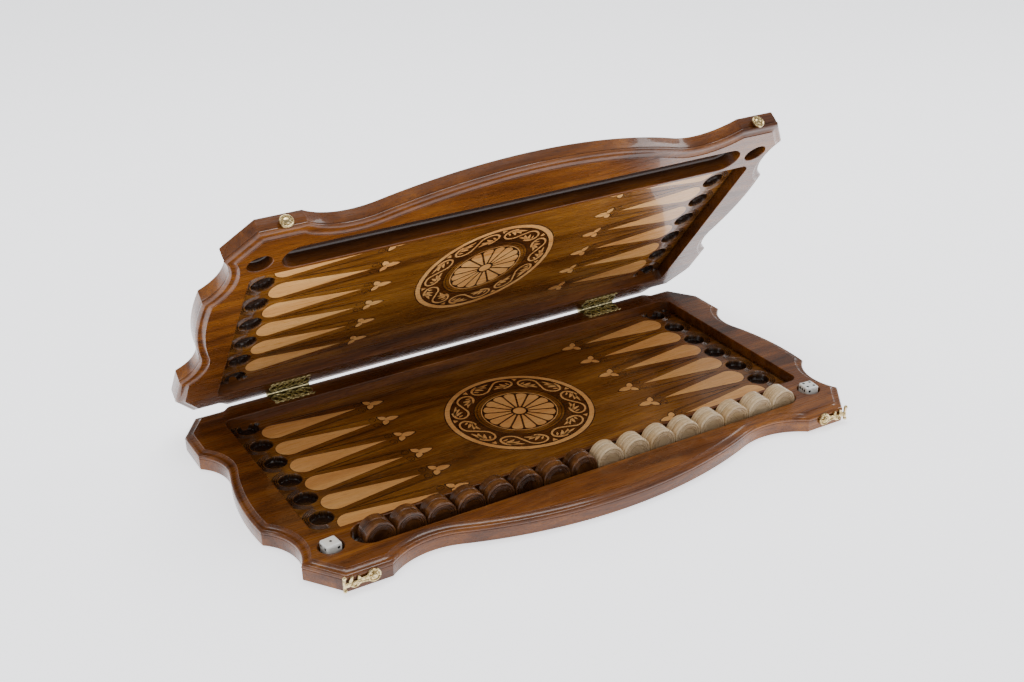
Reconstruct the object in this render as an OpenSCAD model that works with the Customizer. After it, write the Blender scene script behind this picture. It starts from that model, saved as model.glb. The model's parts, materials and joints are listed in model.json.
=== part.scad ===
// Folding backgammon set in carved and inlaid wood.
// Two shallow trays, mirror images of each other, are hinged along their straight back walls.
// Each tray is a frame of four moulded rails round a sunk playing field, with a trough for the
// checkers and two pockets for the dice cut into its front rail. Two brass hooks on the lower
// front turn up behind round studs on the upper front and hold the case shut.
// The origin is on the flat underside, below the middle of the lower field. +X is the length,
// +Y points to the hinges and +Z is up.

/* [Case] */
// Length of the case over its two ends
case_l = 590; // [580:1:720]
// Outside height of one half
half_h = 18; // [17:0.1:24]
// Angle by which the upper half stands open
lid_open = 51.42; // [10:0.01:110]
// Distance from the middle of the field to the back wall
back_y = 139; // [137:0.5:145]
// Distance from the middle of the field to the flat parts of the front
front_y = 168; // [166:0.5:174]
// Distance from the middle of the field to the crown of the front bow
bow_y = 185; // [182:0.5:190]
// Air between the two rims when the case is shut
rim_gap = 0.4; // [0.2:0.1:0.8]

/* [Playing field] */
// Depth of the field below the rim
field_drop = 10.3; // [8:0.1:11]
// Distance from the middle of the field to its back edge
field_back_y = 114.6; // [112:0.1:115]
// Distance from the middle of the field to its front edge
field_front_y = 104.5; // [103:0.1:105]
// Wood between the case's end and the field
end_rail_w = 39.5; // [33:0.5:42]
// Distance between two rows of points
row_pitch = 35; // [30:0.1:35.5]
// Radius of a point's round end
point_r = 12.5; // [9:0.1:13]
// Length of a point from the centre of its round end to its tip
point_l = 82.3; // [60:0.1:84]
// Radius of the round medallion
medal_r = 72; // [60:0.5:74]
// Thickness of the inlaid veneer
inlay_t = 0.6; // [0.4:0.1:1]
// Radius of the carved pockets between the points' round ends
carve_r = 10.4; // [6:0.1:11]
// Depth of the carved pockets below the field
carve_depth = 5.8; // [3:0.1:6.2]

/* [Checkers and dice] */
// Diameter of a checker
checker_d = 27.6; // [22:0.1:29]
// Thickness of a checker
checker_t = 8.5; // [7:0.1:9.5]
// Space between two neighbouring stacks
stack_gap = 0.5; // [0.3:0.1:1.5]
// How much wider the trough is than a checker
trough_play = 3.9; // [2:0.1:6]
// Edge length of a die
die_size = 14; // [11:0.1:15]
// Depth of a dice pocket below the rim
die_pocket_depth = 9.5; // [8:0.1:11]

/* [Hinges] */
// Distance of each hinge from the middle
hinge_x = 180; // [150:1:190]
// Length of a hinge leaf along the back
leaf_l = 44; // [36:0.5:52]
// Depth of a hinge leaf across the back rail
leaf_d = 19.5; // [17:0.1:20.5]
// Thickness of a hinge leaf
leaf_t = 1; // [0.8:0.1:1.2]
// Outer radius of the hinge knuckles
knuckle_r = 1.9; // [1.6:0.1:2.3]
// Radius of the hinge pin
pin_r = 0.9; // [0.6:0.05:1.1]

/* [Hooks] */
// Distance of each hook's pivot from the middle
hook_x = 233; // [226:0.5:240]
// Height of the hook's pivot, and of the stud above the upper half's outer face
hook_z = 10; // [8.5:0.1:11]
// Length of the hook from its pivot to its cross bar
hook_l = 25.5; // [24.5:0.1:27]
// Length of the cross bar at the hook's end
bar_l = 14.6; // [12:0.1:15]
// Radius of the stud's neck, which the hook's jaw takes
neck_r = 1.8; // [1.4:0.1:2]

/* [Clearances] */
// Radial play of a pin or a pivot in its bore
bore_play = 0.05; // [0.03:0.01:0.1]
// Play round the neck in the hook's jaw
jaw_play = 0.3; // [0.2:0.05:0.5]
// Play between neighbouring knuckles and under a leaf
leaf_play = 0.1; // [0.05:0.05:0.2]

/* [Hidden] */
$fn = 96;
checkers_a_side = 16;
function two_digits(n) = str(n < 10 ? "0" : "", n);
function checker_name(tone, n) = str(tone, "_checker_", two_digits(n));

frame_wood = [0.42, 0.2, 0.07];
field_wood = [0.5, 0.25, 0.09];
inlay_wood = [0.85, 0.68, 0.42];
brass = [0.83, 0.68, 0.35];
dark_wood = [0.2, 0.09, 0.04];
light_wood = [0.9, 0.78, 0.55];
white = [0.95, 0.95, 0.93];

// Outline of one half. Arcs are given by centre and radius.
end_x = case_l / 2;
back_cut = [19.5, 29.5];
front_cut = [38.7, 54];
waist_c = [end_x + 27, 38];
waist_r = 42;
belly_c = [end_x - 254, -45];
belly_r = 251;
notch_c = [end_x + 26.3, -109.7];
notch_r = 48;
bow_r = 420;
bow_c = [0, bow_r - bow_y];
scoop_r = 70;
scoop_x = 172.9;
// The scoop touches the bow, so their centres are the sum of their radii apart.
scoop_c = [scoop_x, bow_c[1] - sqrt(pow(bow_r + scoop_r, 2) - pow(scoop_x, 2))];
waist_dir = (waist_c - belly_c) / (belly_r + waist_r);
scoop_dir = (scoop_c - bow_c) / (bow_r + scoop_r);

// The moulding as steps: bottom, top and inset from the side wall, as shares of the height
// for the first two.
moulding = [
    [0, 0.065, 1.2],
    [0.065, 0.64, 0],
    [0.64, 0.72, 0.5],
    [0.72, 0.79, 1.5],
    [0.79, 0.845, 3.2],
    [0.845, 0.9, 4.8],
    [0.9, 0.955, 6.4],
    [0.955, 1, 8]
];
rim_inset = 8;
// The moulding runs out before the straight part of the back wall.
plain_back_x = end_x - 55;
run_out = 12;
back_strip = 30;

axis_y = back_y + 2.2;
axis_z = half_h + rim_gap / 2;

field_z = half_h - field_drop;
field_x = end_x - end_rail_w;
field_corner_r = 8;
lip_w = 4;
lip_t = 3;

point_x = field_x - 40.2;
rows = [-2.5, -1.5, -0.5, 0.5, 1.5, 2.5];
finial_gap = 11;
finial_l = 18.2;
finial_w = 18;
carve_x = field_x - 20;
carve_rows = [-2, -1, 0, 1, 2, 3];
arc_r = [12.2, 15.4];
arc_depth = 0.8;
eye_r = 2.6;
eye_depth = 3;

checker_r = checker_d / 2;
stack_pitch = checker_d + stack_gap;
stacks = checkers_a_side;
land_w = 4;
trough_w = checker_d + trough_play;
trough_y = -(field_front_y + land_w + trough_w / 2);
trough_half = stacks * stack_pitch / 2 + 6.2;
trough_depth = checker_r + 0.5;
trough_z = half_h - trough_depth;
rest_play = 0.02;
checker_z = trough_z + checker_r + rest_play;
first_stack_x = -(stacks - 1) * stack_pitch / 2;
pair_front_y = trough_y - trough_w / 2 + 3.4;

die_pocket_r = 11;
die_x = trough_half + 19.5;
die_y = trough_y - 1.8;
die_z = half_h - die_pocket_depth + rest_play;
die_turn = 6;
pip_r = 1.25;
pip_depth = 0.5;

knuckles = 5;
knuckle_l = leaf_l / knuckles;
leaf_top = half_h + rim_gap / 4;
leaf_z = leaf_top - leaf_t;
screw_r = 0.8;
screw_head_r = 1.6;
screw_head_t = 0.6;
screw_l = 7;
hinge_screws = [[-13, 131 - 139], [0, 124 - 139], [13, 131 - 139]];

hook_t = 1.4;
hook_gap = 0.4;
hook_y = -front_y - hook_gap - hook_t;
jaw_r = 2 * (axis_z - hook_z);
rosette_r = 6;
arm_w = 5;
jaw_boss_r = 5.4;
bar_w = 2.2;
bar_ball_r = 1.5;
pivot_r = 1.2;
pivot_head = [3, 1];
pivot_hole = 11;
stud_head = [6, 1.2];
stud_neck_l = hook_gap + hook_t + 0.6;

// Outline ----------------------------------------------------------------------------------

// Right side of the outline, drawn in by d. Convex arcs shrink by d and hollow arcs grow.
module right_plan(d) {
    difference() {
        translate([-1, -bow_y - 1])
            square([end_x - d + 1, bow_y + 1 + back_y - d]);
        facet([end_x - back_cut[0], back_y], [back_cut[0], -back_cut[1]], d);
        facet([end_x, front_cut[1] - front_y], -front_cut, d);
        translate(waist_c)
            circle(r = waist_r + d);
        translate(notch_c)
            circle(r = notch_r + d);
        difference() {
            translate([belly_c[0] + belly_r / 2, notch_c[1]])
                square([belly_r, belly_c[1] + (belly_r - d) * waist_dir[1] - notch_c[1]]);
            translate(belly_c)
                circle(r = belly_r - d, $fn = 360);
        }
        translate([scoop_c[0], -front_y + d - 30])
            square([end_x, 30]);
        translate(scoop_c)
            circle(r = scoop_r + d, $fn = 180);
        difference() {
            translate([-2, -bow_y - 10])
                square([(bow_r - d) * scoop_dir[0] + 2, 40]);
            translate(bow_c)
                circle(r = bow_r - d, $fn = 720);
        }
    }
}

// Everything outside the straight line that leaves start in a direction, moved in by d.
module facet(start, direction, d) {
    translate(start)
        rotate(atan2(direction[1], direction[0]))
            translate([-60, -d])
                square([200, 100]);
}

module case_plan(d) {
    right_plan(d);
    mirror([1, 0])
        right_plan(d);
    back_strip_plan();
}

// The back wall stays upright between the two ends of the moulding.
module back_strip_plan() {
    far = plain_back_x + run_out;
    polygon([
        [-far, back_y - back_strip],
        [far, back_y - back_strip],
        [far, back_y - rim_inset],
        [plain_back_x, back_y],
        [-plain_back_x, back_y],
        [-far, back_y - rim_inset]
    ]);
}

// The moulded block of one half, cut down to the plan given as the child.
module moulded() {
    for (step = moulding)
        translate([0, 0, step[0] * half_h])
            linear_extrude((step[1] - step[0]) * half_h)
                intersection() {
                    case_plan(step[2]);
                    children();
                }
}

// Frame ------------------------------------------------------------------------------------

// Plan of the playing field, grown by a margin.
module field_plan(margin = 0) {
    x = field_x - field_corner_r;
    r = field_corner_r + margin;
    low = -field_front_y + field_corner_r;
    high = field_back_y - field_corner_r;
    translate([-x - r, low])
        square([2 * (x + r), high - low]);
    translate([-x, low - r])
        square([2 * x, high - low + 2 * r]);
    for (side = [-1, 1], y = [low, high])
        translate([side * x, y])
            circle(r = r);
}

// The room under the rails that the panel's lip fills.
module lip_room() {
    translate([0, 0, -1])
        linear_extrude(lip_t + 1)
            field_plan(lip_w);
}

module front_rail(fitting_hole) {
    difference() {
        moulded()
            translate([-case_l, -bow_y - 20])
                square([2 * case_l, bow_y + 20 - field_front_y]);
        lip_room();
        trough();
        for (side = [-1, 1]) {
            translate([side * die_x, die_y, half_h - die_pocket_depth])
                cylinder(r = die_pocket_r, h = half_h);
            translate([side * hook_x, -front_y + pivot_hole, hook_z])
                rotate([90, 0, 0])
                    cylinder(r = fitting_hole, h = 2 * pivot_hole);
        }
    }
}

module trough() {
    x = trough_half - trough_w / 2;
    translate([0, trough_y, trough_z])
        linear_extrude(half_h) {
            translate([-x, -trough_w / 2])
                square([2 * x, trough_w]);
            for (side = [-1, 1])
                translate([side * x, 0])
                    circle(d = trough_w);
        }
}

module back_rail() {
    difference() {
        moulded()
            translate([-field_x, field_back_y])
                square([2 * field_x, case_l]);
        lip_room();
        for (side = [-1, 1])
            translate([side * hinge_x, 0, 0]) {
                translate([0, 0, leaf_z - leaf_play / 2])
                    linear_extrude(half_h)
                        leaf_plan(leaf_play);
                for (spot = hinge_screws)
                    translate([spot[0], back_y + spot[1], leaf_z - screw_l])
                        cylinder(r = screw_r + bore_play, h = screw_l + 1, $fn = 32);
            }
    }
}

module end_rail(side) {
    difference() {
        moulded()
            difference() {
                translate([side > 0 ? 0 : -case_l, -field_front_y])
                    square([case_l, case_l]);
                translate([-field_x, field_back_y])
                    square([2 * field_x, case_l]);
                field_plan();
                translate([-field_x + field_corner_r, -field_front_y])
                    square([2 * (field_x - field_corner_r), field_back_y]);
            }
        lip_room();
    }
}

// Field ------------------------------------------------------------------------------------

module field_panel() {
    difference() {
        union() {
            linear_extrude(field_z)
                field_plan();
            linear_extrude(lip_t)
                field_plan(lip_w);
        }
        translate([0, 0, field_z - inlay_t])
            linear_extrude(1) {
                point_plans();
                circle(r = medal_r, $fn = 180);
            }
        end_carving();
    }
}

// Drop-shaped points in rows at both ends, each with a pointed finial beyond its tip.
module point_plans() {
    for (side = [-1, 1], row = rows)
        translate([side * point_x, row * row_pitch])
            mirror([side > 0 ? 1 : 0, 0]) {
                drop_plan();
                finial_plan();
            }
}

// A circle and a long triangle whose sides leave the circle nearly along its tangents.
module drop_plan() {
    shoulder = 0.99 * point_r;
    circle(r = point_r);
    polygon([[0, shoulder], [point_l, 0], [0, -shoulder]]);
}

module finial_plan() {
    start = point_l + finial_gap;
    polygon([
        [start, 0],
        [start + finial_l / 3, finial_w / 2],
        [start + finial_l, 0],
        [start + finial_l / 3, -finial_w / 2]
    ]);
}

// Pockets between the rows' round ends, with a shallow arc outside each.
module end_carving() {
    for (side = [-1, 1]) {
        for (row = carve_rows)
            translate([side * carve_x, row * row_pitch]) {
                translate([0, 0, field_z - carve_depth])
                    cylinder(r = carve_r, h = half_h, $fn = 64);
                groove(arc_r, arc_depth, side);
            }
        for (spot = [[field_x - 30.5, field_back_y - 4], [field_x - 5, field_back_y - 5]])
            translate([side * spot[0], spot[1], field_z - eye_depth])
                cylinder(r = eye_r, h = half_h, $fn = 32);
    }
}

// Half of a ring cut into the field, on the side towards the end rail.
module groove(radii, depth, side) {
    translate([0, 0, field_z - depth])
        linear_extrude(half_h)
            intersection() {
                difference() {
                    circle(r = radii[1]);
                    circle(r = radii[0]);
                }
                translate([side > 0 ? 0 : -50, -50])
                    square([50, 100]);
            }
}

module point_inlays() {
    translate([0, 0, field_z - inlay_t])
        linear_extrude(inlay_t)
            point_plans();
}

module medallion_inlay() {
    translate([0, 0, field_z - inlay_t])
        cylinder(r = medal_r, h = inlay_t, $fn = 180);
}

// Upper half -------------------------------------------------------------------------------

// The upper half is the lower one mirrored in the rim plane and turned open on the hinges.
module in_upper_half() {
    translate([0, axis_y, axis_z])
        rotate([-lid_open, 0, 0])
            mirror([0, 0, 1])
                translate([0, -axis_y, -axis_z])
                    children();
}

// Hinges -----------------------------------------------------------------------------------

// Leaf with cut corners, wide at the back wall and narrow towards the field.
module leaf_plan(margin = 0) {
    wide = leaf_l / 2 + margin;
    narrow = leaf_l / 4 + margin;
    polygon([
        [-wide, back_y + margin],
        [wide, back_y + margin],
        [wide - 1.5, back_y - leaf_d / 3],
        [wide - 5.5, back_y - leaf_d * 2 / 3],
        [narrow, back_y - leaf_d - margin],
        [-narrow, back_y - leaf_d - margin],
        [-wide + 5.5, back_y - leaf_d * 2 / 3],
        [-wide + 1.5, back_y - leaf_d / 3]
    ]);
}

// One leaf with every second knuckle from the first one given.
module hinge_leaf(first) {
    difference() {
        union() {
            translate([0, 0, leaf_z])
                linear_extrude(leaf_t)
                    leaf_plan();
            for (n = [first:2:knuckles - 1])
                knuckle(n);
        }
        translate([-leaf_l, axis_y, axis_z])
            rotate([0, 90, 0])
                cylinder(r = pin_r + bore_play, h = 2 * leaf_l, $fn = 48);
        for (spot = hinge_screws)
            translate([spot[0], back_y + spot[1], 0]) {
                cylinder(r = screw_r + bore_play, h = 2 * half_h, $fn = 32);
                translate([0, 0, leaf_top - screw_head_t - bore_play])
                    cylinder(r = screw_head_r + bore_play, h = half_h, $fn = 32);
            }
    }
}

// A knuckle round the hinge axis and the tab that joins it to the leaf.
module knuckle(n) {
    length = knuckle_l - 2 * leaf_play;
    translate([n * knuckle_l + leaf_play - leaf_l / 2, 0, 0]) {
        translate([0, axis_y, axis_z])
            rotate([0, 90, 0])
                cylinder(r = knuckle_r, h = length, $fn = 48);
        translate([0, back_y - 1, leaf_z])
            cube([length, axis_y - back_y + 1, leaf_t]);
    }
}

module hinge_pin() {
    translate([-leaf_l / 2, axis_y, axis_z])
        rotate([0, 90, 0])
            cylinder(r = pin_r, h = leaf_l, $fn = 48);
}

module leaf_screws() {
    for (side = [-1, 1], spot = hinge_screws)
        translate([side * hinge_x + spot[0], back_y + spot[1], 0]) {
            translate([0, 0, leaf_z - screw_l + bore_play])
                cylinder(r = screw_r, h = screw_l, $fn = 32);
            translate([0, 0, leaf_top - screw_head_t])
                cylinder(r = screw_head_r, h = screw_head_t, $fn = 32);
        }
}

// Hooks ------------------------------------------------------------------------------------

// A flat hook that lies outwards from its pivot. The jaw is open towards the top.
module hook() {
    rotate([90, 0, 0])
        linear_extrude(hook_t)
            difference() {
                hook_plan();
                circle(r = pivot_r + bore_play);
                jaw_plan();
            }
    for (end = [-1, 1])
        translate([hook_l, hook_gap / 2 - bar_ball_r, end * (bar_l / 2 - bar_ball_r)])
            sphere(r = bar_ball_r, $fn = 32);
}

module hook_plan() {
    circle(r = rosette_r);
    translate([0, -arm_w / 2 - 1])
        square([hook_l, arm_w - 1]);
    translate([jaw_r, 0])
        circle(r = jaw_boss_r);
    translate([hook_l - bar_w / 2, -bar_l / 2 + bar_ball_r])
        square([bar_w, bar_l - 2 * bar_ball_r]);
}

// The path of the stud's neck as the hook swings up to it.
module jaw_plan() {
    reach = neck_r + jaw_play;
    translate([jaw_r, 0])
        circle(r = reach);
    intersection() {
        difference() {
            circle(r = jaw_r + reach);
            circle(r = jaw_r - reach);
        }
        square([2 * jaw_r, jaw_r]);
    }
}

module placed_hook(side) {
    translate([side * hook_x, hook_y + hook_t, hook_z])
        mirror([side > 0 ? 0 : 1, 0, 0])
            hook();
}

module fitting_screw(shank_r, neck_l, head) {
    rotate([90, 0, 0]) {
        translate([0, 0, -pivot_hole + 1])
            cylinder(r = shank_r, h = pivot_hole - 1 + neck_l);
        translate([0, 0, neck_l])
            cylinder(r = head[0], h = head[1]);
    }
}

module pivot_screws() {
    for (side = [-1, 1])
        translate([side * hook_x, -front_y, hook_z])
            fitting_screw(pivot_r, hook_gap + hook_t + leaf_play, pivot_head);
}

module studs() {
    for (side = [-1, 1])
        translate([side * hook_x, -front_y, hook_z]) {
            fitting_screw(pivot_r, stud_neck_l, stud_head);
            rotate([90, 0, 0])
                cylinder(r = neck_r, h = stud_neck_l);
        }
}

// Checkers and dice ------------------------------------------------------------------------

// A turned disc with rounded edges, a raised ring and a shallow dish on both faces.
module checker() {
    rotate([90, 0, 0])
        rotate_extrude($fn = 72)
            polygon([
                [0, -checker_t / 2 + 0.9],
                [checker_r * 0.55, -checker_t / 2 + 0.6],
                [checker_r * 0.62, -checker_t / 2],
                [checker_r - 1.6, -checker_t / 2],
                [checker_r - 0.4, -checker_t / 2 + 0.6],
                [checker_r, -checker_t / 2 + 2],
                [checker_r, checker_t / 2 - 2],
                [checker_r - 0.4, checker_t / 2 - 0.6],
                [checker_r - 1.6, checker_t / 2],
                [checker_r * 0.62, checker_t / 2],
                [checker_r * 0.55, checker_t / 2 - 0.6],
                [0, checker_t / 2 - 0.9]
            ]);
}

// Places run from the left, two to a stack: the front one, then the one behind it.
module checker_at(place) {
    x = first_stack_x + floor(place / 2) * stack_pitch;
    y = pair_front_y + (place % 2 + 0.5) * (checker_t + rest_play);
    translate([x, y, checker_z])
        checker();
}

module die() {
    translate([0, 0, die_size / 2])
        difference() {
            intersection() {
                cube(die_size, center = true);
                sphere(r = die_size * 0.76, $fn = 64);
            }
            for (face = [0:3])
                rotate([face * 90, 0, 0])
                    pips(face + 1);
            for (face = [0, 1])
                rotate([0, 90 + face * 180, 0])
                    pips(face + 5);
        }
}

// Round sinkings for one face's value, cut from the top.
module pips(value) {
    step = die_size * 0.26;
    spots = concat(
        value % 2 == 1 ? [[0, 0]] : [],
        value > 1 ? [[-1, -1], [1, 1]] : [],
        value > 3 ? [[-1, 1], [1, -1]] : [],
        value == 6 ? [[-1, 0], [1, 0]] : []
    );
    for (spot = spots)
        translate([spot[0] * step, spot[1] * step, die_size / 2 - pip_depth])
            cylinder(r = pip_r, h = 1, $fn = 24);
}

// Nodes ------------------------------------------------------------------------------------

module lower_front_rail() {
    color(frame_wood)
        front_rail(pivot_r + bore_play);
}

module lower_back_rail() {
    color(frame_wood)
        back_rail();
}

module lower_left_end() {
    color(frame_wood)
        end_rail(-1);
}

module lower_right_end() {
    color(frame_wood)
        end_rail(1);
}

module lower_field_panel() {
    color(field_wood)
        field_panel();
}

module lower_point_inlays() {
    color(inlay_wood)
        point_inlays();
}

module lower_medallion_inlay() {
    color(inlay_wood)
        medallion_inlay();
}

module upper_front_rail() {
    in_upper_half()
        lower_front_rail();
}

module upper_back_rail() {
    in_upper_half()
        lower_back_rail();
}

module upper_left_end() {
    in_upper_half()
        lower_left_end();
}

module upper_right_end() {
    in_upper_half()
        lower_right_end();
}

module upper_field_panel() {
    in_upper_half()
        lower_field_panel();
}

module upper_point_inlays() {
    in_upper_half()
        lower_point_inlays();
}

module upper_medallion_inlay() {
    in_upper_half()
        lower_medallion_inlay();
}

module lower_leaf(side) {
    color(brass)
        translate([side * hinge_x, 0, 0])
            hinge_leaf(0);
}

module upper_leaf(side) {
    color(brass)
        in_upper_half()
            translate([side * hinge_x, 0, 0])
                hinge_leaf(1);
}

module placed_pin(side) {
    color(brass)
        translate([side * hinge_x, 0, 0])
            hinge_pin();
}

module hinge_screws_lower() {
    color(brass)
        leaf_screws();
}

module hinge_screws_upper() {
    in_upper_half()
        hinge_screws_lower();
}

module hook_left() {
    color(brass)
        placed_hook(-1);
}

module hook_right() {
    color(brass)
        placed_hook(1);
}

module hook_pivot_screws() {
    color(brass)
        pivot_screws();
}

module catch_studs() {
    color(brass)
        in_upper_half()
            studs();
}

module die_left() {
    color(white)
        translate([-die_x, die_y, die_z])
            rotate(die_turn)
                die();
}

module die_right() {
    color(white)
        translate([die_x, die_y, die_z])
            rotate(-die_turn)
                rotate([0, 90, 0])
                    translate([-die_size / 2, 0, -die_size / 2])
                        die();
}

module dark_checker(n) {
    color(dark_wood)
        checker_at(n - 1);
}

module light_checker(n) {
    color(light_wood)
        checker_at(checkers_a_side + n - 1);
}

lower_front_rail();
lower_back_rail();
lower_left_end();
lower_right_end();
lower_field_panel();
lower_point_inlays();
lower_medallion_inlay();
upper_front_rail();
upper_back_rail();
upper_left_end();
upper_right_end();
upper_field_panel();
upper_point_inlays();
upper_medallion_inlay();
lower_leaf(-1);  // hinge_left_lower_leaf
upper_leaf(-1);  // hinge_left_upper_leaf
placed_pin(-1);  // hinge_left_pin
lower_leaf(1);  // hinge_right_lower_leaf
upper_leaf(1);  // hinge_right_upper_leaf
placed_pin(1);  // hinge_right_pin
hinge_screws_lower();
hinge_screws_upper();
hook_left();
hook_right();
hook_pivot_screws();
catch_studs();
die_left();
die_right();
for (n = [1:checkers_a_side])
    dark_checker(n);
for (n = [1:checkers_a_side])
    light_checker(n);
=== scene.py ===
import json

import bpy
import numpy as np
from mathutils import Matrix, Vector
from mathutils.geometry import delaunay_2d_cdt


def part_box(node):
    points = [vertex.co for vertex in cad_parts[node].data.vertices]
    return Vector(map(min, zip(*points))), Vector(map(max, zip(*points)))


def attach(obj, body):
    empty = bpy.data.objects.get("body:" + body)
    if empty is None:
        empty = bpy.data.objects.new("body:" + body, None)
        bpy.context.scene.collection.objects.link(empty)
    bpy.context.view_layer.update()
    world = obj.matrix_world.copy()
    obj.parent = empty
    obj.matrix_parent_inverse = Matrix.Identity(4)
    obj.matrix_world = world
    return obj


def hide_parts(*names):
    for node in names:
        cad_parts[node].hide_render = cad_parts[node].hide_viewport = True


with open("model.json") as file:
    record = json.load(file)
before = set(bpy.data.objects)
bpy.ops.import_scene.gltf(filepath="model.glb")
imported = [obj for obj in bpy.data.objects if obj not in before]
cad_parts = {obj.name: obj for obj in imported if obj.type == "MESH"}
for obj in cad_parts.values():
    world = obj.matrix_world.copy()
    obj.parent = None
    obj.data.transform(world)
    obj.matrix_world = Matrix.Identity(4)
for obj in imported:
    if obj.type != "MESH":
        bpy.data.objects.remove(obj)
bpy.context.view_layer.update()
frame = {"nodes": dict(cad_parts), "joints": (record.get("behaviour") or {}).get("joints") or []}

# Table, light and camera.
# The set stands on a white sheet under large soft lamps, seen from its front left and from above.
mm = 0.001
camera_place = (-0.5743, -0.9883, 0.6495)
camera_turn = (63.621, 0.929, -30.323)
camera = bpy.data.objects.new("camera", bpy.data.cameras.new("camera"))
camera.data.lens = 47.88
camera.data.sensor_width = 36
camera.location = camera_place
camera.rotation_euler = np.radians(camera_turn)
bpy.context.collection.objects.link(camera)
bpy.context.scene.camera = camera

sheet_half = 6.0
sheet = bpy.data.meshes.new("sheet")
sheet_corners = ((-1, -1), (1, -1), (1, 1), (-1, 1))
sheet.from_pydata([(x * sheet_half, y * sheet_half, 0) for x, y in sheet_corners], [], [(0, 1, 2, 3)])
table_top = bpy.data.objects.new("table_top", sheet)
bpy.context.collection.objects.link(table_top)


def lamp(name, place, aim, size, power):
    """A soft square lamp at place that faces aim."""
    data = bpy.data.lights.new(name, "AREA")
    data.shape = "RECTANGLE"
    data.size, data.size_y = size
    data.energy = power
    made = bpy.data.objects.new(name, data)
    made.location = place
    made.rotation_euler = (Vector(aim) - Vector(place)).to_track_quat("-Z", "Y").to_euler()
    bpy.context.collection.objects.link(made)


lamp("top_lamp", (0.1, 0.5, 1.9), (0, 0, 0), (1.6, 1.0), 34)
lamp("left_lamp", (-1.9, -0.3, 0.9), (0, 0, 0.05), (0.5, 1.2), 6)
lamp("right_lamp", (2.0, -0.1, 1.1), (0, 0, 0.05), (0.7, 0.8), 10)
lamp("front_lamp", (0.5, -2.0, 1.0), (0, 0, 0.1), (1.6, 0.4), 7)
world = bpy.data.worlds.new("studio")
world.use_nodes = True
world.node_tree.nodes["Background"].inputs["Color"].default_value = (1, 1, 1, 1)
world.node_tree.nodes["Background"].inputs["Strength"].default_value = 0.42
bpy.context.scene.world = world

# Frame of each half: front rail, back rail and two shaped ends.
# Walnut-stained hardwood boards with a moulded outer edge, grain along the length, glued round
# the field and finished in a thick clear lacquer. Each is a band carried round the outline.
end_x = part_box("lower_right_end")[1][0]
half_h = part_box("lower_front_rail")[1][2]
back_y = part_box("lower_back_rail")[1][1]
front_y = 168 * mm
bow_y = -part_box("lower_front_rail")[0][1]
lid_open = np.radians(51.42)
lid_hinge = next(j for j in frame["joints"] if j["name"] == "lid_hinge")
axis_y, axis_z = lid_hinge["pos_m"][1:]


class Socket:
    """A node's output. Arithmetic on it adds Math nodes, so shader maths reads as expressions."""

    def __init__(self, finish, socket):
        self.finish = finish
        self.socket = socket

    def math(self, operation, first, second=None):
        inputs = {0: first} if second is None else {0: first, 1: second}
        return self.finish.node("ShaderNodeMath", {"operation": operation}, inputs)

    def __add__(self, other):
        return self.math("ADD", self, other)

    def __radd__(self, other):
        return self.math("ADD", other, self)

    def __sub__(self, other):
        return self.math("SUBTRACT", self, other)

    def __rsub__(self, other):
        return self.math("SUBTRACT", other, self)

    def __mul__(self, other):
        return self.math("MULTIPLY", self, other)

    def __rmul__(self, other):
        return self.math("MULTIPLY", other, self)


class Finish:
    """A material being mixed: its shader, and one method that adds any node."""

    def __init__(self, name, **shader_values):
        self.material = bpy.data.materials.new(name)
        self.material.use_nodes = True
        self.shader = self.material.node_tree.nodes["Principled BSDF"]
        for socket, value in shader_values.items():
            self.feed(socket.replace("_", " "), value)

    def connect(self, socket, value):
        if isinstance(value, Socket):
            self.material.node_tree.links.new(value.socket, socket)
        else:
            socket.default_value = value

    def feed(self, name, value):
        self.connect(self.shader.inputs[name], value)

    def node(self, kind, settings=None, inputs=None, output=0):
        """Adds a node, sets it, feeds its inputs and returns one output."""
        made = self.material.node_tree.nodes.new(kind)
        for name, value in (settings or {}).items():
            if name == "stops":
                for stop, (place, colour) in zip(made.color_ramp.elements, value):
                    stop.position = place
                    stop.color = (*colour, 1)
                for place, colour in value[2:]:
                    made.color_ramp.elements.new(place).color = (*colour, 1)
            else:
                setattr(made, name, value)
        for name, value in (inputs or {}).items():
            self.connect(made.inputs[name], value)
        return Socket(self, made.outputs[output])

    def mix(self, amount, first, second):
        """Blends two colours."""
        first, second = [c if isinstance(c, Socket) else (*c, 1) for c in (first, second)]
        return self.node("ShaderNodeMix", {"data_type": "RGBA"}, {0: amount, 6: first, 7: second}, output=2)

    def noise(self, where, scale, detail=3, roughness=0.5, distortion=0.0):
        """Noise, stretched by a different scale along each axis."""
        place = self.node("ShaderNodeMapping", {}, {"Vector": where, "Scale": scale})
        values = {"Vector": place, "Scale": 1, "Detail": detail}
        values.update({"Roughness": roughness, "Distortion": distortion})
        return self.node("ShaderNodeTexNoise", {}, values)

    def range(self, value, low, high, to_low=0.0, to_high=1.0):
        """Moves a value from one range to another, with smooth ends."""
        inputs = {0: value, 1: low, 2: high, 3: to_low, 4: to_high}
        return self.node("ShaderNodeMapRange", {"interpolation_type": "SMOOTHSTEP"}, inputs)

    def attribute(self, name, output):
        return self.node("ShaderNodeAttribute", {"attribute_name": name}, {}, output)

    def bump(self, height, strength, distance):
        values = {"Height": height, "Strength": strength, "Distance": distance}
        self.feed("Normal", self.node("ShaderNodeBump", {}, values))


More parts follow.
